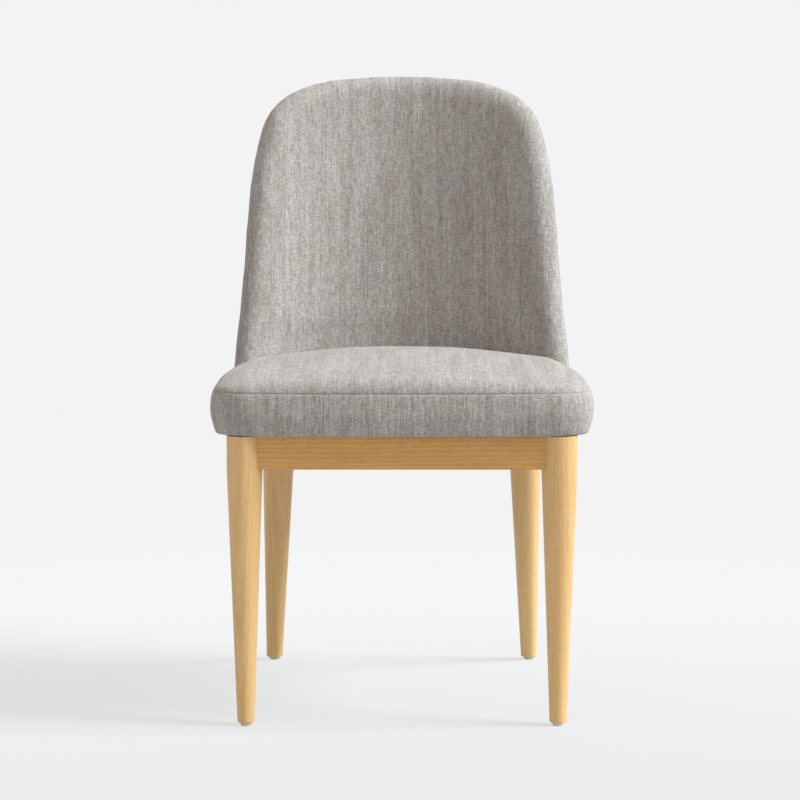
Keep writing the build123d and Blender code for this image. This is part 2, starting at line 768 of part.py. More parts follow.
with BuildPart() as back_cover:
    add(barrel_wall(0))
    split(bisect_by=Plane.XY.offset(frame_height), keep=Keep.TOP)
    add(back_filling.part, mode=Mode.SUBTRACT)
    add(board_space, mode=Mode.SUBTRACT)
    add(dust_cover_staples.part, mode=Mode.SUBTRACT)

with BuildPart() as back_cover_inside:
    add(back_cover.part)
    add(barrel_core(seam_radius), mode=Mode.INTERSECT)
keep(back_cover_inside.part, "back_cover_inside")

with BuildPart() as back_cover_outside:
    add(back_cover.part)
    add(barrel_core(seam_radius), mode=Mode.SUBTRACT)
keep(back_cover_outside.part, "back_cover_outside")
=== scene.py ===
import bmesh
import bpy
from math import acos, asin, atan2, copysign, cos, hypot, pi, radians, sin, tanh
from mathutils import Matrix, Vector


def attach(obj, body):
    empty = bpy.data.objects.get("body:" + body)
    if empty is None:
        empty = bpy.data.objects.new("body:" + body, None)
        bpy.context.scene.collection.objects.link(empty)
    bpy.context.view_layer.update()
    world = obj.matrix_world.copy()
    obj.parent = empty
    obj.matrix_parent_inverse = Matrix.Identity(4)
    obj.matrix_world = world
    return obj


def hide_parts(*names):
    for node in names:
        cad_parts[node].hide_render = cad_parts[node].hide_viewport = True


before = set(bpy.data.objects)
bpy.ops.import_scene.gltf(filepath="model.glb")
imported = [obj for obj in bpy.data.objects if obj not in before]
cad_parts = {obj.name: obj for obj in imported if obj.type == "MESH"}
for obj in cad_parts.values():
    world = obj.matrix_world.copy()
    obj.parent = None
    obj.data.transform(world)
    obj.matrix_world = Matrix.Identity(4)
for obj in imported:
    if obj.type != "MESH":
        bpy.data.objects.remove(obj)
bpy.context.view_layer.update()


# Legs: turned from straight-grained oak, a plain shank that tapers to the foot, sanded and given a
# satin clear lacquer. A hanger bolt draws each leg into its corner of the frame.
MM = 0.001
wave_band = 2 * pi / 20  # length of one band of a wave texture at scale 1
rear_leg_run = Vector((13, 105, -373)) * MM  # top of the right rear leg to its foot


def linear(code):
    """Linear colour of an sRGB hex value."""
    parts = [int(code[i:i + 2], 16) / 255 for i in (1, 3, 5)]
    return [c / 12.92 if c <= 0.04045 else ((c + 0.055) / 1.055) ** 2.4 for c in parts] + [1]


def put(tree, kind, inputs={}, stops=(), **settings):
    """Add a node with its settings, colour stops and inputs, set or linked. Returns its outputs."""
    node = tree.nodes.new("ShaderNode" + kind)
    for name, value in settings.items():
        setattr(node, name, value)
    for name, value in inputs.items():
        if isinstance(value, bpy.types.NodeSocket):
            tree.links.new(value, node.inputs[name])
        else:
            node.inputs[name].default_value = value
    for i, (place, code) in enumerate(stops):
        stop = node.color_ramp.elements[i] if i < 2 else node.color_ramp.elements.new(place)
        stop.position = place
        stop.color = linear(code)
    return node.outputs


def start_material(name):
    """A new material with an empty node tree."""
    material = bpy.data.materials.new(name)
    material.use_nodes = True
    material.node_tree.nodes.clear()
    return material, material.node_tree


def dress(material, *nodes):
    """Give CAD nodes one material."""
    for name in nodes:
        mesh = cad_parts[name].data
        mesh.materials.clear()
        mesh.materials.append(material)


def lacquered_oak(name, grain, early, late, pore):
    """Oak under satin lacquer: soft pale and darker bands along the grain, and short dark pores."""
    material, tree = start_material(name)
    place = put(tree, "TexCoord")["Object"]
    turn = Vector(grain).rotation_difference(Vector((0, 0, 1))).to_euler()
    # The fibres run along local Z, and the heart of the tree lies well outside the piece.
    heart = (110 * MM, 70 * MM, 0)
    fibre = put(tree, "Mapping", {"Vector": place, "Rotation": turn, "Location": heart})[0]
    # The figure is ten times as long along the grain as across it, and the pores a little longer.
    figure_draw = 0.1
    pore_draw = 0.08
    drawn = put(tree, "Mapping", {"Vector": fibre, "Scale": (1, 1, figure_draw)})[0]
    ring_width = 4.5 * MM
    rings = put(
        tree,
        "TexWave",
        {
            "Vector": drawn,
            "Scale": wave_band / ring_width,
            "Distortion": 9,
            "Detail": 4,
            "Detail Scale": 0.4,
            "Detail Roughness": 0.6,
        },
        wave_type="RINGS",
        rings_direction="Z",
    )["Fac"]
    fibre_width = 1.6 * MM
    fibres = put(tree, "TexNoise", {"Vector": drawn, "Scale": 1 / fibre_width, "Detail": 4})["Fac"]
    fibre_share = 0.65
    bands = put(tree, "Mix", {0: fibre_share, 2: rings, 3: fibres})[0]
    cloud_size = 45 * MM
    cloud = put(tree, "TexNoise", {"Vector": drawn, "Scale": 1 / cloud_size, "Detail": 3})["Fac"]
    # Pores are 0.3 mm wide and are drawn three times as wide so that they show.
    pore_width = 0.9 * MM
    pore_place = put(tree, "Mapping", {"Vector": fibre, "Scale": (1, 1, pore_draw)})[0]
    pores = put(tree, "TexNoise", {"Vector": pore_place, "Scale": 1 / pore_width, "Detail": 1})["Fac"]
    pore_share = put(tree, "MapRange", {0: pores, 1: 0.6, 2: 0.75, 3: 0, 4: 0.45})[0]
    wood = put(tree, "Mix", {0: bands, 6: linear(early), 7: linear(late)}, data_type="RGBA")[2]
    shade = put(tree, "ValToRGB", {0: cloud}, [(0.3, "#E9E3DA"), (0.7, "#FFFFFF")])[0]
    wood = put(tree, "Mix", {0: 1, 6: wood, 7: shade}, data_type="RGBA", blend_type="MULTIPLY")[2]
    wood = put(tree, "Mix", {0: pore_share, 6: wood, 7: linear(pore)}, data_type="RGBA")[2]
    shader = put(
        tree,
        "BsdfPrincipled",
        {
            "Base Color": wood,
            "Roughness": put(tree, "MapRange", {0: pores, 3: 0.4, 4: 0.62})[0],
            "Normal": put(tree, "Bump", {"Height": pore_share, "Strength": 0.3, "Distance": -0.2 * MM})[0],
            "IOR": 1.5,
            "Coat Weight": 0.1,
            "Coat Roughness": 0.3,
        },
    )
    put(tree, "OutputMaterial", {"Surface": shader[0]})
    return material


leg_tones = ("#EBC58B", "#D8A966", "#AE803F")
dress(lacquered_oak("lacquered_oak_front_legs", (0, 0, 1), *leg_tones), "front_left_leg", "front_right_leg")
dress(lacquered_oak("lacquered_oak_rear_right_leg", rear_leg_run, *leg_tones), "rear_right_leg")
rear_leg_run.x *= -1
dress(lacquered_oak("lacquered_oak_rear_left_leg", rear_leg_run, *leg_tones), "rear_left_leg")


# Glides: hard pads moulded in off-white polyethylene around the head of a nail that is driven up
# into each foot. They come waxy from the mould, and the floor scuffs them dull in patches.
glide_plastic, tree = start_material("moulded_polyethylene_glides")
place = put(tree, "TexCoord")["Object"]
scuff_size = 2.5 * MM
scuffs = put(tree, "TexNoise", {"Vector": place, "Scale": 1 / scuff_size, "Detail": 4})["Fac"]
shader = put(
    tree,
    "BsdfPrincipled",
    {
        "Base Color": put(tree, "ValToRGB", {0: scuffs}, [(0.35, "#CFCAC0"), (0.6, "#E4E0D8")])[0],
        "Roughness": put(tree, "MapRange", {0: scuffs, 3: 0.38, 4: 0.6})[0],
        "Normal": put(tree, "Bump", {"Height": scuffs, "Strength": 0.2, "Distance": 0.1 * MM})[0],
        "IOR": 1.54,
        "Subsurface Weight": 0.15,
        "Subsurface Scale": 2 * MM,
    },
)
put(tree, "OutputMaterial", {"Surface": shader[0]})
dress(glide_plastic, "front_left_glide", "front_right_glide", "rear_left_glide", "rear_right_glide")


# Rails: sawn and planed oak boards, doweled and glued to flats on the legs, lacquered like them.
# Their grain runs lengthwise and is a little deeper in colour than that of the turned legs.
side_rail_run = Vector((30, 350, 0)) * MM  # the left rail from front to back, towards the middle
rail_tones = ("#E2B26A", "#C98F40", "#996526")
dress(lacquered_oak("lacquered_oak_cross_rails", (1, 0, 0), *rail_tones), "front_rail", "rear_rail")
dress(lacquered_oak("lacquered_oak_left_rail", side_rail_run, *rail_tones), "left_rail")
side_rail_run.x *= -1
dress(lacquered_oak("lacquered_oak_right_rail", side_rail_run, *rail_tones), "right_rail")


# Corner blocks and dowels: plain planed beech, left bare and matt, with short darker flecks. The
# blocks are glued and screwed into the corners, and the dowels are glued into the legs and rails.
bare_beech, tree = start_material("planed_bare_beech")
place = put(tree, "TexCoord")["Object"]
fleck_width = 0.8 * MM
fleck_place = put(tree, "Mapping", {"Vector": place, "Scale": (0.12, 1, 1)})[0]
flecks = put(tree, "TexNoise", {"Vector": fleck_place, "Scale": 1 / fleck_width, "Detail": 2})["Fac"]
shader = put(
    tree,
    "BsdfPrincipled",
    {
        "Base Color": put(tree, "ValToRGB", {0: flecks}, [(0.35, "#B98E68"), (0.55, "#D9B48E")])[0],
        "Roughness": put(tree, "MapRange", {0: flecks, 3: 0.75, 4: 0.6})[0],
        "Normal": put(tree, "Bump", {"Height": flecks, "Strength": 0.2, "Distance": 0.1 * MM})[0],
        "IOR": 1.5,
    },
)
put(tree, "OutputMaterial", {"Surface": shader[0]})
dress(
    bare_beech,
    "front_left_corner_block",
    "front_right_corner_block",
    "rear_left_corner_block",
    "rear_right_corner_block",
    "rail_dowels",
)


# Fasteners: zinc-plated steel bolts, nuts, washers, screws, nails and staples. The plating is dull
# bright grey, with a faint cloudiness.
zinc_plate, tree = start_material("zinc_plated_steel")
place = put(tree, "TexCoord")["Object"]
spangle_size = 3 * MM
spangle = put(tree, "TexNoise", {"Vector": place, "Scale": 1 / spangle_size, "Detail": 3})["Fac"]
shader = put(
    tree,
    "BsdfPrincipled",
    {
        "Base Color": put(tree, "ValToRGB", {0: spangle}, [(0.35, "#AEB2B6"), (0.65, "#CDD1D4")])[0],
        "Roughness": put(tree, "MapRange", {0: spangle, 3: 0.28, 4: 0.48})[0],
        "Metallic": 1,
    },
)
put(tree, "OutputMaterial", {"Surface": shader[0]})
dress(
    zinc_plate,
    "leg_hanger_bolts",
    "leg_bolt_nuts",
    "leg_bolt_washers",
    "corner_block_screws",
    "seat_fixing_screws",
    "glide_nails",
    "dust_cover_staples",
    "back_bolts",
    "back_bolt_washers",
    "back_bolt_inserts",
)


# Seat board and back panel: birch plywood, pale veneers glued crosswise, flat under the seat and
# pressed to a curve in the back. Sanded faces are matt, and edges show the plies as fine lines. The
# upholstery covers both.
birch_plywood, tree = start_material("sanded_birch_plywood")
place = put(tree, "TexCoord")["Object"]
ply = 1.4 * MM
plies = put(tree, "TexWave", {"Vector": place, "Scale": wave_band / (2 * ply)}, bands_direction="Z")["Fac"]
vein_width = 2 * MM
vein_place = put(tree, "Mapping", {"Vector": place, "Scale": (1, 0.06, 1)})[0]
veins = put(tree, "TexNoise", {"Vector": vein_place, "Scale": 1 / vein_width, "Detail": 3})["Fac"]
face_wood = put(tree, "ValToRGB", {0: veins}, [(0.3, "#CDB088"), (0.7, "#E2CBA6")])[0]
edge_wood = put(tree, "ValToRGB", {0: plies}, [(0.3, "#C09B6C"), (0.7, "#FFFFFF")])[0]
plywood = put(tree, "Mix", {0: 0.5, 6: face_wood, 7: edge_wood}, data_type="RGBA", blend_type="MULTIPLY")[2]
shader = put(
    tree,
    "BsdfPrincipled",
    {
        "Base Color": plywood,
        "Roughness": put(tree, "MapRange", {0: veins, 3: 0.6, 4: 0.75})[0],
        "Normal": put(tree, "Bump", {"Height": veins, "Strength": 0.2, "Distance": 0.1 * MM})[0],
        "IOR": 1.5,
    },
)
put(tree, "OutputMaterial", {"Surface": shader[0]})
dress(birch_plywood, "seat_board", "back_panel")


# Seat cushion: foam on the board under a woven cover, with a top panel sewn to a boxing strip that
# is pulled tight, turned in under the board and stapled.
seat_base = 377 * MM
seat_seam = 432.7 * MM
seat_half = 249 * MM
seat_front = -279.6 * MM
seat_corner = 58 * MM
seat_crown = 467 * MM
seat_under_roll = 13 * MM
voxel = 5.4 * MM
cover_swell = 3 * MM  # the most that the filling presses a cover out
rail_gap = 0.2 * MM  # the covers stay this clear of the rails

# The back is a barrel wall that leans. In its flat layout, x runs round the wall, y is the
# distance from the barrel's axis and z runs up along the wall.
lean = radians(11)
barrel_inside = 310 * MM
barrel_outside = 352 * MM
barrel_centre = Vector((0, -138.93, 514.15)) * MM
rise = Vector((0, sin(lean), cos(lean)))
rearward = Vector((0, cos(lean), -sin(lean)))


def to_layout(place):
    """A point of the chair in the flat layout of the back."""
    offset = place - barrel_centre
    back = offset.dot(rearward)
    return Vector((barrel_inside * atan2(offset.x, back), hypot(offset.x, back), offset.dot(rise)))


def from_layout(place):
    """A point of the flat layout of the back, in the chair."""
    swing = place.x / barrel_inside
    level = rearward * cos(swing) + Vector((sin(swing), 0, 0))
    return barrel_centre + level * place.y + rise * place.z


def ease(value, low, high):
    """0 at low, 1 at high, and smooth between them."""
    share = min(1, max(0, (value - low) / (high - low)))
    return share * share * (3 - 2 * share)


def join_copies(name, *nodes):
    """A new object from copies of CAD nodes, with their loose triangles merged."""
    form = bmesh.new()
    for node in nodes:
        form.from_mesh(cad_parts[node].data)
    bmesh.ops.remove_doubles(form, verts=form.verts, dist=0.01 * MM)
    mesh = bpy.data.meshes.new(name)
    form.to_mesh(mesh)
    form.free()
    piece = bpy.data.objects.new(name, mesh)
    bpy.context.scene.collection.objects.link(piece)
    return piece


def apply_modifiers(piece):
    """Put the result of a piece's modifiers into its mesh."""
    evaluated = piece.evaluated_get(bpy.context.evaluated_depsgraph_get())
    mesh = bpy.data.meshes.new_from_object(evaluated)
    piece.modifiers.clear()
    piece.data = mesh


def reskin(piece, growth):
    """One closed skin of even quads over all that is in the piece, relaxed, then grown a little."""
    skin = piece.modifiers.new("skin", "REMESH")
    skin.mode = "VOXEL"
    skin.voxel_size = voxel
    apply_modifiers(piece)
    form = bmesh.new()
    form.from_mesh(piece.data)
    relax_rounds = 6
    for _ in range(relax_rounds):
        bmesh.ops.smooth_vert(
            form, verts=form.verts, factor=0.5, use_axis_x=True, use_axis_y=True, use_axis_z=True
        )
    form.normal_update()
    for vert in form.verts:
        vert.co += vert.normal * growth
    form.to_mesh(piece.data)
    form.free()


def swell(piece, limit, hold):
    """Let the filling press the cover out, up to a limit. hold gives how firmly a point is held."""
    steps = 20
    spread_rounds = 10
    start = [(vert.co.copy(), vert.normal.copy()) for vert in piece.data.vertices]
    held = piece.vertex_groups.new(name="held")
    for vert in piece.data.vertices:
        held.add([vert.index], min(1, max(0, hold(vert.co))), "REPLACE")
    cover = piece.modifiers.new("cover", "CLOTH")
    cover.settings.use_pressure = True
    cover.settings.uniform_pressure_force = 4
    cover.settings.shrink_min = -0.02
    cover.settings.effector_weights.gravity = 0
    cover.settings.vertex_group_mass = "held"
    cover.point_cache.frame_end = steps
    for step in range(1, steps + 1):
        bpy.context.scene.frame_set(step)
    apply_modifiers(piece)
    bpy.context.scene.frame_set(1)
    piece.vertex_groups.clear()
    out = [(vert.co - place).dot(normal) for vert, (place, normal) in zip(piece.data.vertices, start)]
    out = [limit * tanh(max(0, move) / limit) for move in out]
    near = [[] for move in out]
    for edge in piece.data.edges:
        first, second = edge.vertices
        near[first].append(second)
        near[second].append(first)
    for _ in range(spread_rounds):
        # Foam spreads the press, so no sharp pucker stays in the cover.
        out = [(out[i] + sum(out[j] for j in near[i]) / len(near[i])) / 2 for i in range(len(out))]
    for vert, (place, normal), move in zip(piece.data.vertices, start, out):
        vert.co = place + normal * (move * (1 - min(1, max(0, hold(place)))))


def refine(piece):
    """One subdivision, and the mesh as a bmesh."""
    fine = piece.modifiers.new("fine", "SUBSURF")
    fine.levels = 1
    fine.render_levels = 1
    apply_modifiers(piece)
    form = bmesh.new()
    form.from_mesh(piece.data)
    return form


def cut_loops(form, middle, normal, offsets):
    """Loops of edges where a plane, moved by each offset, meets the mesh."""
    for offset in offsets:
        everything = form.verts[:] + form.edges[:] + form.faces[:]
        bmesh.ops.bisect_plane(
            form, geom=everything, dist=0.05 * MM, plane_co=middle + normal * offset, plane_no=normal
        )
    form.normal_update()


def edge_way(x, y, half, end):
    """Direction across the nearest edge of a panel, which grows from nothing in its middle field."""
    way = Vector((x - min(half, max(-half, x)), max(0, y - end)))
    return way.normalized() * ease(way.length, 0, 30 * MM)


def roll_length(depth, roll):
    """Length of cloth that a rounded edge takes up beyond its flat width, at a depth below the flat."""
    turn = acos(min(1, max(-1, 1 - depth / roll)))
    return roll * (turn - sin(turn))


def boxing_run(place):
    """Distance along the boxing strip from the middle of the front."""
    straight = seat_half - seat_corner
    past_corner = place.y - seat_front - seat_corner
    if past_corner > 0:
        run = straight + seat_corner * pi / 2 + past_corner
    elif abs(place.x) > straight:
        run = straight + seat_corner * atan2(abs(place.x) - straight, -past_corner)
    else:
        run = abs(place.x)
    return copysign(run, place.x)


def close(piece, form, material, *nodes):
    """Finish a padded piece: its mesh, its cover's material, and what it stands for."""
    for face in form.faces:
        face.smooth = True
    form.to_mesh(piece.data)
    form.free()
    piece.data.materials.clear()
    piece.data.materials.append(material)
    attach(piece, "root")
    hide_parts(*nodes)


def seat_hold(place):
    """The cover is held at its seam, under the board and where it meets the back."""
    seam = 1 - abs(place.z - seat_seam) / (7 * MM)
    under = 1 - ease(place.z, seat_base + 3 * MM, seat_base + 14 * MM)
    back = ease(to_layout(place).y, barrel_inside - 60 * MM, barrel_inside - 5 * MM)
    return max(seam, under, back)


# The cover is a heathered plain weave of thick and thin yarns. Light and dark fibres show as fine
# streaks along the warp, and the weft crosses them in paler ticks.
heather_weave, tree = start_material("woven_heather_upholstery")
thread = 1.3 * MM  # real threads are about half as wide, too fine to show
cloth = put(tree, "UVMap", uv_map="weave")[0]
threads = put(tree, "VectorMath", {0: cloth, 1: (1 / thread, 1 / thread, 0)}, operation="MULTIPLY")[0]
number = put(tree, "VectorMath", {0: threads}, operation="FLOOR")[0]
number = put(tree, "SeparateXYZ", {0: number})
along = put(tree, "SeparateXYZ", {0: threads})
warp_slub = 18 * MM  # length of the thick and thin stretches of the yarns
weft_slub = 6 * MM
warp_step = 1.37  # more than one cell of the noise, so that neighbouring threads differ
weft_step = 1.73
warp_place = put(tree, "CombineXYZ", {0: number[0], 1: along[1]})[0]
warp_scale = (warp_step, thread / warp_slub, 1)
warp_place = put(tree, "VectorMath", {0: warp_place, 1: warp_scale}, operation="MULTIPLY")[0]
warp = put(tree, "TexNoise", {"Vector": warp_place, "Scale": 1, "Detail": 1})["Fac"]
weft_place = put(tree, "CombineXYZ", {0: along[0], 1: number[1]})[0]
weft_scale = (thread / weft_slub, weft_step, 1)
weft_place = put(tree, "VectorMath", {0: weft_place, 1: weft_scale}, operation="MULTIPLY")[0]
weft = put(tree, "TexNoise", {"Vector": weft_place, "Scale": 1, "Detail": 1})["Fac"]
warp_yarn = put(
    tree,
    "ValToRGB",
    {0: warp},
    [(0.3, "#8C8680"), (0.45, "#A8A29C"), (0.56, "#B7B1AB"), (0.72, "#CCC7C2")],
)[0]
weft_yarn = put(tree, "ValToRGB", {0: weft}, [(0.3, "#8D8781"), (0.5, "#B1ABA5"), (0.7, "#D3CEC9")])[0]
over = put(tree, "TexChecker", {"Vector": threads, "Scale": 1})["Fac"]
yarn = put(tree, "Mix", {0: over, 6: weft_yarn, 7: warp_yarn}, data_type="RGBA")[2]
streak_width = 1.9 * MM
streak_length = 260 * MM
streak_scale = (1 / streak_width, 1 / streak_length, 1)
streak_place = put(tree, "Mapping", {"Vector": cloth, "Scale": streak_scale})[0]
streak = put(tree, "TexNoise", {"Vector": streak_place, "Scale": 1, "Detail": 1})["Fac"]
streak = put(tree, "ValToRGB", {0: streak}, [(0.35, "#EBE9E7"), (0.65, "#FFFFFF")])[0]
yarn = put(tree, "Mix", {0: 1, 6: yarn, 7: streak}, data_type="RGBA", blend_type="MULTIPLY")[2]
# Lots of yarn differ a little, which shows as broad, faint bands.
band_width = 20 * MM
band_length = 150 * MM
band_scale = (1 / band_width, 1 / band_length, 1)
band_place = put(tree, "Mapping", {"Vector": cloth, "Scale": band_scale})[0]
band = put(tree, "TexNoise", {"Vector": band_place, "Scale": 1, "Detail": 1})["Fac"]
band = put(tree, "ValToRGB", {0: band}, [(0.35, "#F0EEEB"), (0.65, "#FFFFFF")])[0]
yarn = put(tree, "Mix", {0: 1, 6: yarn, 7: band}, data_type="RGBA", blend_type="MULTIPLY")[2]
# Cool and warm yarns change more slowly than light and dark ones.
tint_scale = (0.61, 0.5, 1)
tint_place = put(tree, "VectorMath", {0: warp_place, 1: tint_scale}, operation="MULTIPLY")[0]
tint = put(tree, "TexNoise", {"Vector": tint_place, "Scale": 1, "Detail": 1})["Fac"]
tint = put(tree, "ValToRGB", {0: tint}, [(0.35, "#FAFCFF"), (0.5, "#FFFEFD"), (0.65, "#FFFAF5")])[0]
yarn = put(tree, "Mix", {0: 1, 6: yarn, 7: tint}, data_type="RGBA", blend_type="MULTIPLY")[2]
half_turns = put(tree, "VectorMath", {0: threads, 1: (pi, pi, 0)}, operation="MULTIPLY")[0]
rounds = put(tree, "VectorMath", {0: half_turns}, operation="SINE")[0]
rounds = put(tree, "SeparateXYZ", {0: put(tree, "VectorMath", {0: rounds}, operation="ABSOLUTE")[0]})
knuckle = put(tree, "Math", {0: rounds[0], 1: rounds[1]}, operation="MULTIPLY")[0]
thick = put(tree, "Math", {0: warp, 1: knuckle}, operation="MULTIPLY")[0]
shader = put(
    tree,
    "BsdfPrincipled",
    {
        "Base Color": yarn,
        "Roughness": put(tree, "MapRange", {0: warp, 3: 0.95, 4: 0.8})[0],
        "Normal": put(tree, "Bump", {"Height": thick, "Strength": 0.6, "Distance": 0.7 * MM})[0],
        "Specular IOR Level": 0.25,
        "Sheen Weight": 0.15,
        "Sheen Roughness": 0.5,
        "Sheen Tint": linear("#E9E4DD"),
    },
)
put(tree, "OutputMaterial", {"Surface": shader[0]})

seat_growth = -1.8 * MM  # the skin starts inside the foam's face, and the swell brings it out
crown_gain = 1.05
side_slope = 0.12  # share of the crown that is lost towards the sides
side_drop = 0.62  # share that is lost at the very side, by the wings
front_share = 0.4  # how much of both losses the front has
rear_drop = 0.42  # share that is lost behind, where the top rolls down
boxing_draw = 3.5 * MM
roll_hang = 2 * MM
seat_groove = 0.9 * MM
seat_groove_half = 1.7 * MM
seat_cushion = join_copies("seat_cushion", "seat_foam", "seat_board")
reskin(seat_cushion, seat_growth)
swell(seat_cushion, cover_swell, seat_hold)
form = refine(seat_cushion)
for vert in form.verts:
    place = vert.co
    across = abs(place.x)
    # The top falls away to the sides, most by the wings of the back, and rolls down behind.
    fall = side_slope * ease(across, 60 * MM, 180 * MM) + side_drop * ease(across, 195 * MM, 246 * MM)
    fall *= front_share + (1 - front_share) * ease(place.y, -150 * MM, 90 * MM)
    behind = ease(to_layout(place).y, barrel_inside - 30 * MM, barrel_inside - 2 * MM)
    behind *= rear_drop * (1 - ease(across, 130 * MM, 215 * MM))
    if place.z > seat_seam:
        place.z = seat_seam + (place.z - seat_seam) * crown_gain * (1 - fall) * (1 - behind)
    # The boxing is drawn in below its middle. Its turned edge lies on the rails, and the roll outside
    # them hangs a little lower.
    drawn = boxing_draw * (1 - ease(place.z, seat_base, seat_base + 30 * MM))
    drawn *= 1 - ease(vert.normal.y, 0.2, 0.7)
    place -= Vector((vert.normal.x, vert.normal.y, 0)) * drawn
    low = 1 - ease(place.z, seat_base, seat_base + 18 * MM)
    place.z -= (place.z - seat_base - rail_gap) * low
    place.z -= roll_hang * low * ease(hypot(vert.normal.x, vert.normal.y), 0.2, 0.6)
up = Vector((0, 0, 1))
cut_loops(form, up * seat_seam, up, (-1.4 * MM, -0.6 * MM, 0, 0.6 * MM, 1.4 * MM))
weave = form.loops.layers.uv.new("weave")
for face in form.faces:
    on_top = face.calc_center_median().z > seat_seam
    for loop in face.loops:
        place = loop.vert.co
        if on_top:
            way = edge_way(place.x, -place.y, seat_half - seat_corner, -seat_front - seat_corner)
            way *= roll_length(seat_crown - place.z, seat_crown - seat_seam)
            loop[weave].uv = (place.x + way.x, place.y - way.y)
        elif face.normal.z < -0.9:
            loop[weave].uv = place.xy
        else:
            dip = asin(min(1, max(0, -loop.vert.normal.z)))
            loop[weave].uv = (boxing_run(place), place.z - seat_under_roll * (dip - sin(dip)))
for vert in form.verts:
    # The sewn edges turn in together along the seam.
    turned_in = 1 - ease(abs(vert.co.z - seat_seam), 0, seat_groove_half)
    vert.co -= vert.normal * (seat_groove * turned_in)
close(seat_cushion, form, heather_weave, "seat_foam", "seat_cover_top", "seat_cover_boxing")


# Back cushion: foam and padding on a curved plywood panel. An inside cover is drawn over the rolled
# edge and sewn to an outside cover along the rear of that edge.
back_seam = 343 * MM
back_growth = 2.6 * MM  # the skin stands for the covers, which lie over the foam and padding
back_groove = 1.5 * MM
back_groove_half = 2.8 * MM
wing_draw = 1.5 * MM
stand_out = 3 * MM  # how far the finished cover stands out from the barrel
inner_roll = 22 * MM
outer_roll = 20 * MM
back_field_half = 150 * MM  # the flat field of the back, inside its rounded edge
back_field_top = 256 * MM


def back_hold(place):
    """The cover is held at its foot, behind the seat and along its seam."""
    layout = to_layout(place)
    foot = 1 - ease(place.z, seat_base + 3 * MM, seat_base + 20 * MM)
    seat = 1 - ease(place.z, 450 * MM, 500 * MM) if layout.y < 325 * MM else 0
    seam = 1 - abs(layout.y - back_seam) / (5 * MM)
    return max(foot, seat, seam)


back_cushion = join_copies("back_cushion", "back_foam", "back_panel", "back_padding")
reskin(back_cushion, back_growth)
swell(back_cushion, cover_swell, back_hold)
form = refine(back_cushion)
for vert in form.verts:
    place = vert.co
    place.z -= (place.z - seat_base - rail_gap) * (1 - ease(place.z, seat_base, seat_base + 14 * MM))
    # The wings are drawn in a little above the seat, and flare out beside it.
    drawn = ease(place.z, 465 * MM, 510 * MM) * (1 - ease(place.z, 560 * MM, 640 * MM))
    drawn *= wing_draw * ease(abs(place.x), 100 * MM, 220 * MM)
    place.x -= copysign(drawn, place.x)
    vert.co = to_layout(place)
outward = Vector((0, 1, 0))
cut_loops(form, outward * back_seam, outward, (-2.4 * MM, -1 * MM, 0, 1 * MM, 2.4 * MM))
weave = form.loops.layers.uv.new("weave")
for face in form.faces:
    outside = face.calc_center_median().y > back_seam
    for loop in face.loops:
        place = loop.vert.co
        way = edge_way(place.x, place.z, back_field_half, back_field_top)
        if outside:
            way *= roll_length(barrel_outside + stand_out - place.y, outer_roll)
            loop[weave].uv = ((place.x + way.x) * barrel_outside / barrel_inside, place.z + way.y)
        else:
            way *= roll_length(place.y - barrel_inside + stand_out, inner_roll)
            loop[weave].uv = (place.x + way.x, place.z + way.y)
for vert in form.verts:
    turned_in = 1 - ease(abs(vert.co.y - back_seam), 0, back_groove_half)
    vert.co = from_layout(vert.co - vert.normal * (back_groove * turned_in))
close(
    back_cushion,
    form,
    heather_weave,
    "back_foam",
    "back_padding",
    "back_cover_inside",
    "back_cover_outside",
)


# Dust cover: one piece of black spunbonded cloth, cut to lie inside the rails and corner blocks,
# pulled flat and stapled up into the seat board along the rails.
dust_corners = [
    Vector((x, y, 0)) * MM
    for x, y in (
        (-185, -160.1),
        (-121, -229.6),
        (121, -229.6),
        (185, -160.1),
        (168.8, 36.4),
        (92.8, 106.4),
        (-92.8, 106.4),
        (-168.8, 36.4),
    )
]
dust_level = 376.7 * MM
dust_sag = 3 * MM
dust_ripple = 1.2 * MM
form = bmesh.new()
bmesh.ops.create_grid(form, x_segments=100, y_segments=100, size=0.25)
edges_out = []
for i, corner in enumerate(dust_corners):
    run = corner - dust_corners[i - 1]
    outwards = Vector((run.y, -run.x, 0)).normalized()
    edges_out.append((corner, outwards))
    everything = form.verts[:] + form.edges[:] + form.faces[:]
    bmesh.ops.bisect_plane(
        form, geom=everything, dist=0.05 * MM, plane_co=corner, plane_no=outwards, clear_outer=True
    )
dust_area = sum(face.calc_area() for face in form.faces)
for vert in form.verts:
    from_edge = min((corner - vert.co).dot(outwards) for corner, outwards in edges_out)
    slack = ease(from_edge, 5 * MM, 110 * MM)
    ripple = sin(vert.co.x / (11 * MM)) * sin(vert.co.y / (14 * MM)) * slack * (1 - slack)
    vert.co.z = dust_level - dust_sag * slack + dust_ripple * ripple
for face in form.faces:
    face.smooth = True
dust_mesh = bpy.data.meshes.new("dust_cloth")
form.to_mesh(dust_mesh)
form.free()
dust_cloth = bpy.data.objects.new("dust_cloth", dust_mesh)
bpy.context.scene.collection.objects.link(dust_cloth)
wall = dust_cloth.modifiers.new("wall", "SOLIDIFY")
wall.thickness = 0.4 * MM
wall.offset = 0
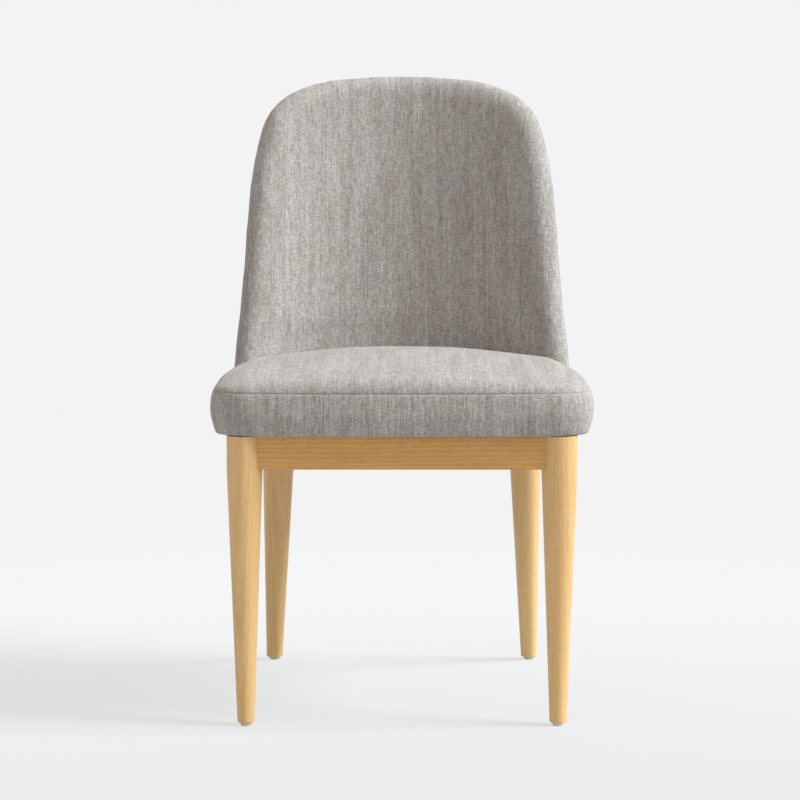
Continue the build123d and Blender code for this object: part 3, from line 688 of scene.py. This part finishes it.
# Spunbonded polypropylene: matt black, fine fibres pressed together at rows of small bonded points.
spunbond, tree = start_material("spunbonded_polypropylene_cloth")
place = put(tree, "TexCoord")["Object"]
bond_pitch = 2.5 * MM  # real points are 1 mm apart, too fine to show
bonds = put(tree, "TexVoronoi", {"Vector": place, "Scale": 1 / bond_pitch, "Randomness": 0})["Distance"]
bonds = put(tree, "MapRange", {0: bonds, 1: 0.2, 2: 0.4}, interpolation_type="SMOOTHSTEP")[0]
hair_width = 0.5 * MM
hair_place = put(tree, "Mapping", {"Vector": place, "Scale": (1, 0.12, 1)})[0]
hairs = put(tree, "TexNoise", {"Vector": hair_place, "Scale": 1 / hair_width, "Detail": 3})["Fac"]
loft = put(tree, "Math", {0: bonds, 1: hairs}, operation="MULTIPLY")[0]
shader = put(
    tree,
    "BsdfPrincipled",
    {
        "Base Color": put(tree, "ValToRGB", {0: loft}, [(0.1, "#161617"), (0.6, "#2C2C2E")])[0],
        "Roughness": put(tree, "MapRange", {0: loft, 3: 0.6, 4: 0.95})[0],
        "Normal": put(tree, "Bump", {"Height": loft, "Strength": 0.5, "Distance": 0.2 * MM})[0],
        "IOR": 1.49,
        "Sheen Weight": 0.1,
    },
)
put(tree, "OutputMaterial", {"Surface": shader[0]})
dust_mesh.materials.append(spunbond)
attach(dust_cloth, "root")
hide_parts("dust_cover")


# Studio: a pale floor that fades into an even pale background, one broad soft key light from the
# right and above, and the photograph's camera.
floor_mesh = bpy.data.meshes.new("floor")
form = bmesh.new()
bmesh.ops.create_circle(form, cap_ends=True, segments=96, radius=4)
form.to_mesh(floor_mesh)
form.free()
floor = bpy.data.objects.new("floor", floor_mesh)
bpy.context.scene.collection.objects.link(floor)
studio_paper, tree = start_material("pale_studio_paper")
place = put(tree, "TexCoord")["Object"]
distance = put(tree, "VectorMath", {0: place}, operation="LENGTH")["Value"]
fade_start = 0.6
fade_end = 2.0
fade = {0: distance, 1: fade_start, 2: fade_end}
far = put(tree, "MapRange", fade, interpolation_type="SMOOTHERSTEP")[0]
matte = put(tree, "BsdfDiffuse", {"Color": linear("#C2C2C2")})[0]
# Painted shade: the paper's glow is painted darker at the front of the floor and paler towards the back.
near_tone = -0.6
far_tone = 0.7
depth = put(tree, "SeparateXYZ", {0: place})[1]
depth = put(tree, "MapRange", {0: depth, 1: near_tone, 2: far_tone})[0]
painted_floor_shade = put(tree, "ValToRGB", {0: depth}, [(0, "#EDEDED"), (1, "#FAFAFA")])[0]
glow = put(tree, "Emission", {"Color": painted_floor_shade, "Strength": 1})[0]
rays = put(tree, "LightPath")
seen = put(tree, "Math", {0: rays["Is Camera Ray"], 1: rays["Is Glossy Ray"]}, operation="MAXIMUM")[0]
seen = put(tree, "Math", {0: seen, 1: rays["Is Transmission Ray"]}, operation="MAXIMUM")[0]
glow_share = 0.72  # the rest is lit paper, which keeps the shadow
evened = put(tree, "Math", {0: seen, 1: glow_share}, operation="MULTIPLY")[0]
paper = put(tree, "MixShader", {0: evened, 1: matte, 2: glow})[0]
clear = put(tree, "BsdfTransparent")[0]
below = put(tree, "NewGeometry")["Backfacing"]
far = put(tree, "Math", {0: far, 1: below}, operation="MAXIMUM")[0]
put(tree, "OutputMaterial", {"Surface": put(tree, "MixShader", {0: far, 1: paper, 2: clear})[0]})
floor_mesh.materials.append(studio_paper)

studio = bpy.data.worlds.new("studio")
studio.use_nodes = True
tree = studio.node_tree
tree.nodes.clear()
rays = put(tree, "LightPath")
seen = put(tree, "Math", {0: rays["Is Camera Ray"], 1: rays["Is Glossy Ray"]}, operation="MAXIMUM")[0]
seen = put(tree, "Math", {0: seen, 1: rays["Is Transmission Ray"]}, operation="MAXIMUM")[0]
room = put(tree, "Background", {"Color": linear("#F6F6F6"), "Strength": 0.7})[0]
backdrop = put(tree, "Background", {"Color": linear("#F3F3F4"), "Strength": 1})[0]
put(tree, "OutputWorld", {"Surface": put(tree, "MixShader", {0: seen, 1: room, 2: backdrop})[0]})
bpy.context.scene.world = studio

key = bpy.data.objects.new("key", bpy.data.lights.new("key", "SUN"))
key.data.energy = 5.1
key.data.color = linear("#EDF6FF")[:3]
key.data.angle = radians(26)
key_side = Vector((0.77, -0.1, 0.64))
key.rotation_euler = key_side.to_track_quat("Z", "Y").to_euler()
bpy.context.scene.collection.objects.link(key)

camera = bpy.data.objects.new("camera", bpy.data.cameras.new("camera"))
camera.data.sensor_width = 36
camera.data.lens = 128
camera.location = Vector((-2.6, -3856.6, 778)) * MM
camera_dip = 5.62
camera.rotation_euler = (radians(90 - camera_dip), 0, 0)
bpy.context.scene.collection.objects.link(camera)
bpy.context.scene.camera = camera
bpy.context.scene.view_settings.view_transform = "Standard"
